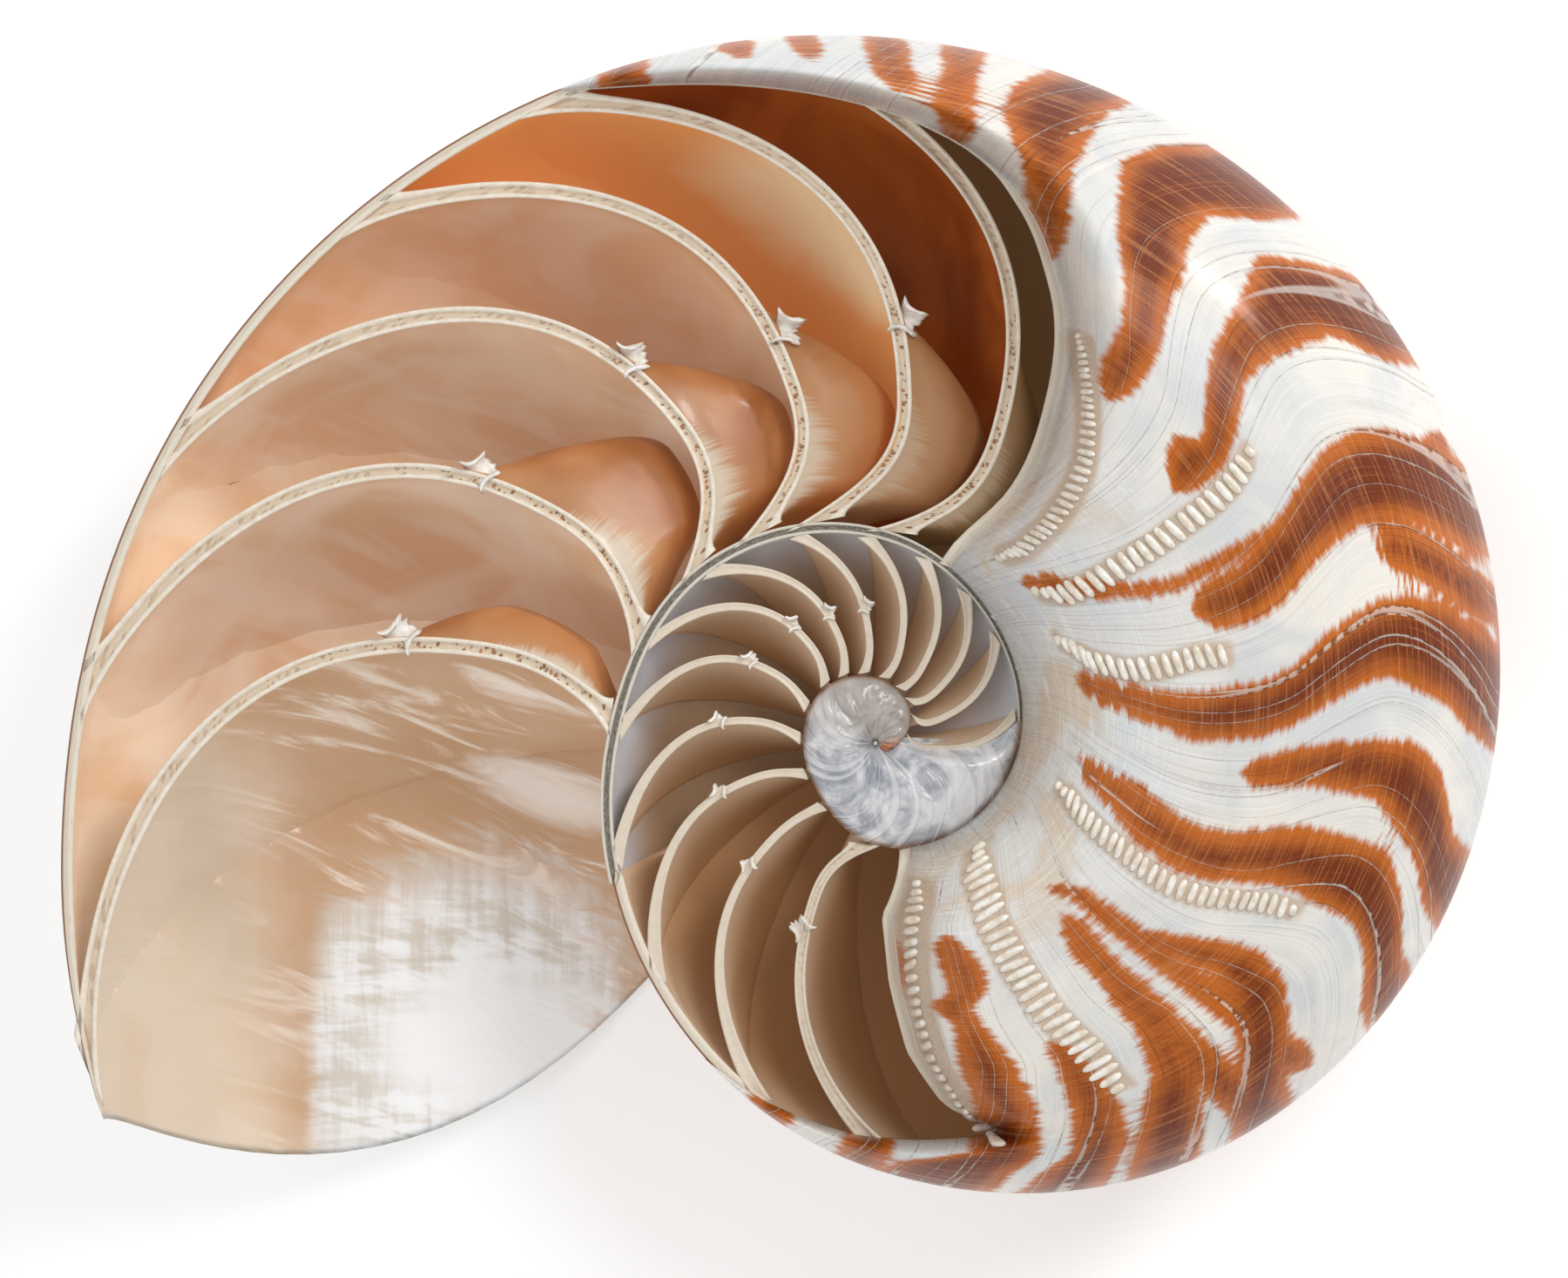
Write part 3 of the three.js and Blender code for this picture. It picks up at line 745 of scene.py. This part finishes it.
def silver_finish():
    """The first coil: silvery blue mother-of-pearl with faint curved ridges, its reflections
    painted in as dark grey and near-white patches.
    """
    paint = Finish("silver nacre")
    growth, share, line = paint.value("growth"), paint.value("share"), paint.value("line")
    soft = paint.cloud(paint.spot, 0.2, 4.0, 0.6, 1.5)
    # Painted reflections: dark grey to near-white patches across the polished coil.
    base = soft.rise(0.3, 0.7).blend(colour(138, 143, 154), colour(230, 230, 232))
    older = 1 - growth.rise(-250, -140)
    base = (older * 0.55).blend(base, colour(168, 150, 128))
    first = 1 - growth.rise(-385, -330)
    base = (first * soft.rise(0.4, 0.5)).blend(base, colour(200, 120, 70))
    outline = share.rise(0.94, 0.99)
    base = (outline * 0.8).blend(base, colour(150, 108, 78))
    ridges = paint.cloud(paint.join(line * 0.05, 0.0), 1.0, 1.0)
    thin = (1 - (ridges - 0.5).far().rise(0.0, 0.03)) * growth.rise(-260, -120)
    base = (thin * 0.5).blend(base, colour(236, 236, 236))
    return paint.done(base, 0.2, ridges * 2 + soft * 0.5 + thin * 0.3, 0.5, 0.0008, 0.4)


def plain_finish(name, low, high, roughness=0.4):
    paint = Finish(name)
    grain = paint.cloud(paint.spot, 0.8, 4.0, 0.6)
    base = grain.rise(0.35, 0.65).blend(colour(*low), colour(*high))
    return paint.done(base, roughness, grain, 0.25, 0.0003, 0.2)


STRIPED = striped_finish()
NACRE = nacre_finish()
COIL = coil_finish()
SAWN = sawn_finish()
RING = ring_finish()
FACES = septum_finish()
EDGES = rim_finish()
SILVER = silver_finish()
CREAM = plain_finish("suture ribs", (222, 208, 188), (246, 242, 234), 0.25)
CHALK = plain_finish("necks", (222, 212, 198), (248, 244, 238))

# ---- Outer wall of the last turn ----

OUT, CUT, IN = 0, 1, 2
WALL_PROFILE = (
    [(OUT, a, 0) for a in [1 - k / 30 for k in range(30)]]
    + [(OUT, 0.022, 0), (OUT, 0.01, 0), (OUT, 0.003, 0)]
    + [(CUT, 0, e) for e in (0, 0.1, 0.28, 0.5, 0.75, 0.92, 1)]
    + [(IN, a, 1) for a in (0.003, 0.01, 0.022)]
    + [(IN, k / 30, 1) for k in range(1, 31)]
)


def wall_side(profile):
    def finish_of(column, _):
        kinds = (profile[column][0], profile[column + 1][0])
        return CUT if kinds == (CUT, CUT) else (OUT if OUT in kinds else IN)
    return finish_of


def outer_wall_place(part, column):
    _, around, inward = column
    growth = mix(SHELL_START, MOUTH_GROWTH, part)
    growth += mouth_sweep(around) * clamp((growth - SWEEP_FROM) / SWEEP_RUN) ** 3
    thin = smooth(part, 0.0, 0.004) * mix(1, 0.25, smooth(part, 0.955, 1))
    thin *= 1 - smooth(part, 0.996, 1)
    thin *= 1 - smooth(around, 0.93, 1)
    radius, height = flank_inside(growth, around, WALL * mix(0.5, inward, thin))
    if around < 0.002:
        height -= 0.12 if inward in (0, 1) else 0
    point = on_coil(growth, radius, height)
    return point, {
        "growth": growth,
        "share": radius / rim(growth),
        "stripe": stripe_depth(growth, radius),
        "line": line_growth(growth, radius),
        "edge": inward,
        "depth": -height,
        "chamber": chamber_at(growth, 0.99, around) if inward == 1 else 0,
        "suture": -2.0,
    }


WALL_PARTS = [0, 0.002] + steps(0.005, 0.99, 268) + [0.993, 0.996, 0.998, 1]
make_piece("outer_wall", WALL_PARTS, WALL_PROFILE, outer_wall_place,
           [STRIPED, SAWN, NACRE], wall_side(WALL_PROFILE))

# ---- Near wall, kept between two septa ----


SHELF = 1.2  # width of the sawn border


def near_wall_place(row, column):
    part, shelf = row
    across, below = column
    low, high = cover_border(across)
    growth = mix(low, high, part)
    radius = mix(rim(growth - 360), rim(growth), across)
    height = cover_height(growth, across) - NEAR_WALL * below * min(1, (1 - across) * 12)
    if shelf:
        height = cover_height(growth, across) - (0.05 if shelf < 1 else 0.15) - below
        turned_in = 1 - 0.8 * smooth(across, 0.72, 0.8)
        growth += (part * 2 - 1) * SHELF * turned_in * shelf / RAD / radius
        if shelf > 1:
            height -= 0.5 * (1 - below)
    height = max(height, -1.3 * below - 0.3)
    point = on_coil(growth, radius, height)
    return point, {
        "growth": growth,
        "share": radius / rim(growth),
        "stripe": stripe_depth(growth, radius),
        "line": line_growth(growth, radius),
        "edge": mix(0.3, 0.9, shelf),
        "suture": suture_depth(growth, radius),
    }


NEAR_ACROSS = [math.sin(k / 64 * math.pi / 2) ** 0.8 for k in range(65)]
NEAR_COLUMNS = [(a, 0) for a in NEAR_ACROSS] + [(a, 1) for a in reversed(NEAR_ACROSS)]
NEAR_COLUMNS += [(NEAR_ACROSS[0], 0)]
NEAR_PARTS = [0.5 - 0.5 * math.cos(mix(0.04, math.pi - 0.04, k / 190)) for k in range(191)]
NEAR_PARTS = [0] + NEAR_PARTS + [1]
SHELF_STEPS = (1.04, 1, 0.85, 0.5, 0.15)
NEAR_ROWS = [(0, shelf) for shelf in SHELF_STEPS] + [(part, 0) for part in NEAR_PARTS]
NEAR_ROWS += [(1, shelf) for shelf in reversed(SHELF_STEPS)]


def near_wall_side(_, row):
    shelves = len(SHELF_STEPS)
    return 1 if row < shelves or row >= len(NEAR_ROWS) - 1 - shelves else 0


make_piece("near_wall", NEAR_ROWS, NEAR_COLUMNS, near_wall_place, [STRIPED, SAWN], near_wall_side)

# ---- Wall between the whorls, and the first coil ----

RING_PROFILE = (
    [(OUT, a, 0) for a in [1 - k / 16 for k in range(16)]]
    + [(OUT, 0.03, 0), (OUT, 0.006, 0)]
    + [(CUT, 0, e) for e in (0, 0.12, 0.24, 0.34, 0.5, 0.64, 0.76, 0.88, 1)]
    + [(IN, 0.006, 1), (IN, 0.03, 1)]
    + [(IN, k / 16, 1) for k in range(1, 17)]
)


def ring_wall_place(part, column):
    _, around, inward = column
    growth = mix(CORE_END - 3, SHELL_START + 3, part)
    thin = smooth(part, 0, 0.1) * (1 - smooth(around, 0.9, 1)) * (1 if part < 1 else 0)
    deep = COIL_WALL * mix(0.55, 1, smooth(growth, 0, 150)) * (mix(0.4, inward, thin) - 0.3)
    radius, height = flank_inside(growth, around, deep)
    if around < 0.002 and 0.3 < inward < 0.7:
        height -= 0.2 * thin
    point = on_coil(growth, radius, height)
    share = radius / rim(growth)
    return point, {"growth": growth, "share": share, "edge": inward, "depth": -height}


make_piece("ring_wall", steps(0, 1, 150), RING_PROFILE, ring_wall_place,
           [COIL, RING, COIL], wall_side(RING_PROFILE))


def first_coil_place(part, column):
    kind, value = column
    growth = mix(-403, CORE_END, part)
    _, rim_run, inner_run = SEPTA[-1]
    across = value if kind == OUT else 1
    growth += (rim_run * across**3 + inner_run * max(0, 1 - across / 0.3) ** 3) * part**12
    inner, outer = rim(growth - 360), rim(growth)
    if growth < -45:
        inner = 0.2
    closing = smooth(part, 0.97, 1)
    if kind == OUT:
        radius = mix(inner, outer, value)
        hump = max(1 - abs(2 * value - 1) ** 2.4, 0) ** 0.6
        height = 0.17 * (outer - inner) * hump * (1 - closing) + 0.02
        height += 0.1 * math.sin(line_growth(growth, radius) * RAD * 18) * hump * (1 - closing)
    else:
        radius, height = flank(growth, value)
    if part == 1:
        growth, radius, height = CORE_END + 6, mix(inner, outer, 0.5), -3
    point = on_coil(growth, radius, height)
    shape = growth + 40 * value**2
    return point, {"growth": growth, "share": value if kind == OUT else 1, "line": shape}


COIL_COLUMNS = [(OUT, k / 14) for k in range(15)]
COIL_COLUMNS += [(CUT, k / 14) for k in range(1, 15)] + [(OUT, 0)]
make_piece("first_coil", steps(0, 1, 200), COIL_COLUMNS, first_coil_place, [SILVER])

# ---- Septa ----

DEEP = (0.9, 0.8, 0.7, 0.6, 0.5, 0.42, 0.34, 0.27, 0.2, 0.14, 0.09, 0.05, 0.02)
SEPTUM_COLUMNS = (
    [(a, -1, 0) for a in DEEP]
    + [(0, -1, -0.12), (0, -0.86, 0), (0, -0.55, 0), (0, -0.42, -1), (0, 0.42, -1), (0, 0.55, 0),
       (0, 0.86, 0), (0, 1, -0.12)]
    + [(a, 1, 0) for a in reversed(DEEP)]
)


def septum_side(column, _):
    ends = SEPTUM_COLUMNS[column][0] + SEPTUM_COLUMNS[column + 1][0]
    return 1 if ends == 0 else 0


def make_septum(number):
    wide = number < FIRST_INNER
    middle = SEPTA[number][0]
    depth = rim(middle) - rim(middle - 360)
    length = depth * 1.35

    def place(across, column):
        around, side, lift = column
        a = clamp(across, 0.003, 0.997)
        growth, radius, height = septum_place(number, a, around)
        before = septum_growth(number, a - 0.02, around)
        after = septum_growth(number, a + 0.02, around)
        lean = math.hypot(1, (after - before) / 0.04 * RAD * radius / depth)
        thick = SEPTUM_BASE + SEPTUM_SHARE * rim(growth)
        shallow = math.exp(-around * rim(growth) / 2.5)
        thick *= mix(0.7, 1.12 if wide else 0.94, shallow)
        ends = min(a, 1 - a) * depth
        thick *= 1 + (1.3 if wide else 0.5) * math.exp(-ends / 1.1) * shallow
        thick *= mix(1 - smooth(a, 0.93, 0.99), 1, shallow)
        if across in (0, 1) or around > 0.89:
            side = 0
        tail = smooth(a, 0.78, 0.84) * (1 - shallow)
        along = a * length
        if lift <= -1:
            lift = -0.3 if wide else -0.05
        half = thick / 2 / radius / RAD * min(lean, 2.2)
        point = on_coil(growth + half * side, radius, height + lift)
        return point, {
            "growth": growth,
            "share": radius / rim(growth),
            "edge": mix(side, 1, tail),
            "along": along,
            "chamber": number if side >= 0 or tail > 0.5 else number + 1,
            "depth": -height,
        }

    rows = 150 if wide else 60
    acrosses = [mix(k, (1 - math.cos(k * math.pi)) / 2, 0.6) for k in steps(0, 1, rows)]
    return make_piece(f"septum_{number + 1:02d}", acrosses, SEPTUM_COLUMNS, place,
                      [FACES, EDGES], septum_side)


for number in range(len(SEPTA)):
    make_septum(number)

# ---- Siphuncle necks: short flared half tubes behind the septa ----

NECKS = {0: 0.44, 1: 0.46, 2: 0.45, 3: 0.42, 4: 0.45, 12: 0.4, 13: 0.42, 14: 0.45, 15: 0.48,
         16: 0.45, 17: 0.45, 18: 0.45, 19: 0.5}


def make_neck(number, across):
    growth, radius, _ = septum_place(number, across, 0.03)
    size = (0.35 + 0.011 * rim(growth)) if number < 13 else 0.55
    axis = on_coil(growth, radius, 0)
    before, after = (septum_place(number, across + side, 0)[:2] for side in (-0.03, 0.03))
    edge_run = (on_coil(*after, 0) - on_coil(*before, 0)).normalized()
    square = Vector((edge_run.y, -edge_run.x, 0))
    back = (square * 0.75 - edge_run * 0.65).normalized()
    out = Vector((-back.y, back.x, 0))

    def place(part, column):
        turn, inward = column
        flare = 0.85 + 0.9 * math.exp(-part * 5) + 0.3 * part**4
        ragged = 1 + 0.18 * rough((turn * 2, part * 2, number), 0.9)
        thick = 0.0 if part in (0, 1) else 0.35
        r = size * flare * ragged - thick * (inward - 0.5)
        reach = part * size * 2.3 * (1 + 0.3 * rough((turn * 3, 0, number * 3.1), 1.0))
        point = axis + back * (reach - 0.2) + out * (r * math.cos(turn))
        point.z = r * math.sin(turn) * 0.9 + 0.5 * size - 0.6 * size * part
        return point, {}

    turns = steps(-math.pi - 0.5, 0.5, 18)
    columns = [(t, 0) for t in turns] + [(t, 1) for t in reversed(turns)] + [(turns[0], 0)]
    make_piece(f"neck_{number + 1:02d}", steps(0, 1, 10), columns, place, [CHALK])


for number, across in NECKS.items():
    make_neck(number, across)

# ---- Ribbed sutures on the near wall ----


def near_point(growth, share):
    r = rim(growth)
    inner = rim(growth - 360)
    across = clamp((share * r - inner) / (r - inner), 0.002, 0.998)
    return on_coil(growth, mix(inner, r, across), cover_height(growth, across))


def add_ribs(mesh, line, length, spacing, seed):
    """Small bars side by side along a suture, each lying across it."""
    shares = steps(line[0][0], line[-1][0], 240)
    points = [near_point(between(line, share), share) for share in shares]
    run, next_at = 0.0, spacing / 2
    for k in range(1, len(points)):
        run += (points[k] - points[k - 1]).length
        if run < next_at:
            continue
        share = shares[k]
        growth = between(line, share)
        jitter = rough((k * 0.37, seed * 3.3, 0.5), 1.0)
        next_at += spacing * (1 + 0.2 * jitter)
        ends = clamp(min(k, len(points) - k) / 18, 0.45, 1)
        centre = near_point(growth, share)
        forward = near_point(growth + 0.7, share) - near_point(growth - 0.7, share)
        out = near_point(growth, share + 0.01) - near_point(growth, share - 0.01)
        bar = (forward.normalized() - out.normalized() * (0.2 + 0.15 * jitter)).normalized()
        up = bar.cross(out).normalized()
        up = up if up.z > 0 else -up
        side = up.cross(bar)
        half = length / 2 * ends * (1 + 0.12 * jitter)
        turn = Matrix((bar * half, side * spacing * 0.37, up * 0.42)).transposed().to_4x4()
        made = bmesh.ops.create_uvsphere(mesh, u_segments=12, v_segments=7, radius=1.0)
        for vert in made["verts"]:
            x, y, z = vert.co
            x = math.copysign(abs(x) ** 0.6, x)
            vert.co = centre + up * 0.08 + turn @ Vector((x, y, z))


ribs = bmesh.new()
for seed, (line, length, spacing) in enumerate(SUTURES):
    add_ribs(ribs, line, length, spacing, seed)
for face in ribs.faces:
    face.smooth = True
finish_piece("suture_ribs", ribs, [CREAM])

# ---- Floor, light and camera ----


def make_floor():
    mesh = bmesh.new()
    bmesh.ops.create_grid(mesh, x_segments=1, y_segments=1, size=3.0)
    data = bpy.data.meshes.new("floor")
    mesh.to_mesh(data)
    mesh.free()
    floor = bpy.data.objects.new("floor", data)
    bpy.context.collection.objects.link(floor)
    paint = Finish("floor")
    data.materials.append(paint.done(colour(250, 250, 250), 0.9, glow=FLOOR_GLOW))


def add_lamp(name, place, size, power, aim=(0, 0, 0.02)):
    light = bpy.data.lights.new(name, "AREA")
    light.shape = "DISK"
    light.size = size
    light.energy = power
    lamp = bpy.data.objects.new(name, light)
    lamp.location = place
    lamp.rotation_mode = "QUATERNION"
    lamp.rotation_quaternion = (Vector(aim) - Vector(place)).to_track_quat("-Z", "Y")
    bpy.context.collection.objects.link(lamp)


make_floor()
add_lamp("key", (0.45, 0.42, 0.75), 0.35, 2.6)
add_lamp("side", (0.62, 0.6, 0.34), 0.14, 2.0)
add_lamp("fill", (-0.6, 0.1, 0.8), 0.8, 1.5)
add_lamp("low", (-0.1, -0.7, 0.5), 0.5, 0.6)

scene = bpy.context.scene
world = bpy.data.worlds.new("studio")
world.use_nodes = True
world.node_tree.nodes["Background"].inputs["Color"].default_value = (1.0, 1.0, 1.0, 1.0)
world.node_tree.nodes["Background"].inputs["Strength"].default_value = 0.55
scene.world = world
scene.view_settings.view_transform = "Standard"

VIEW_WIDTH = 0.1644
CAMERA_DISTANCE = 0.8
SENSOR = 36.0
turn = TO_FRAME.to_quaternion()
target = TO_FRAME @ Vector((-9.59, 10.92, 0))
lens = bpy.data.cameras.new("camera")
lens.sensor_width = SENSOR
lens.lens = SENSOR * CAMERA_DISTANCE / VIEW_WIDTH
camera = bpy.data.objects.new("camera", lens)
camera.rotation_mode = "QUATERNION"
camera.rotation_quaternion = turn
camera.location = target + turn @ Vector((0, 0, CAMERA_DISTANCE))
bpy.context.collection.objects.link(camera)
scene.camera = camera
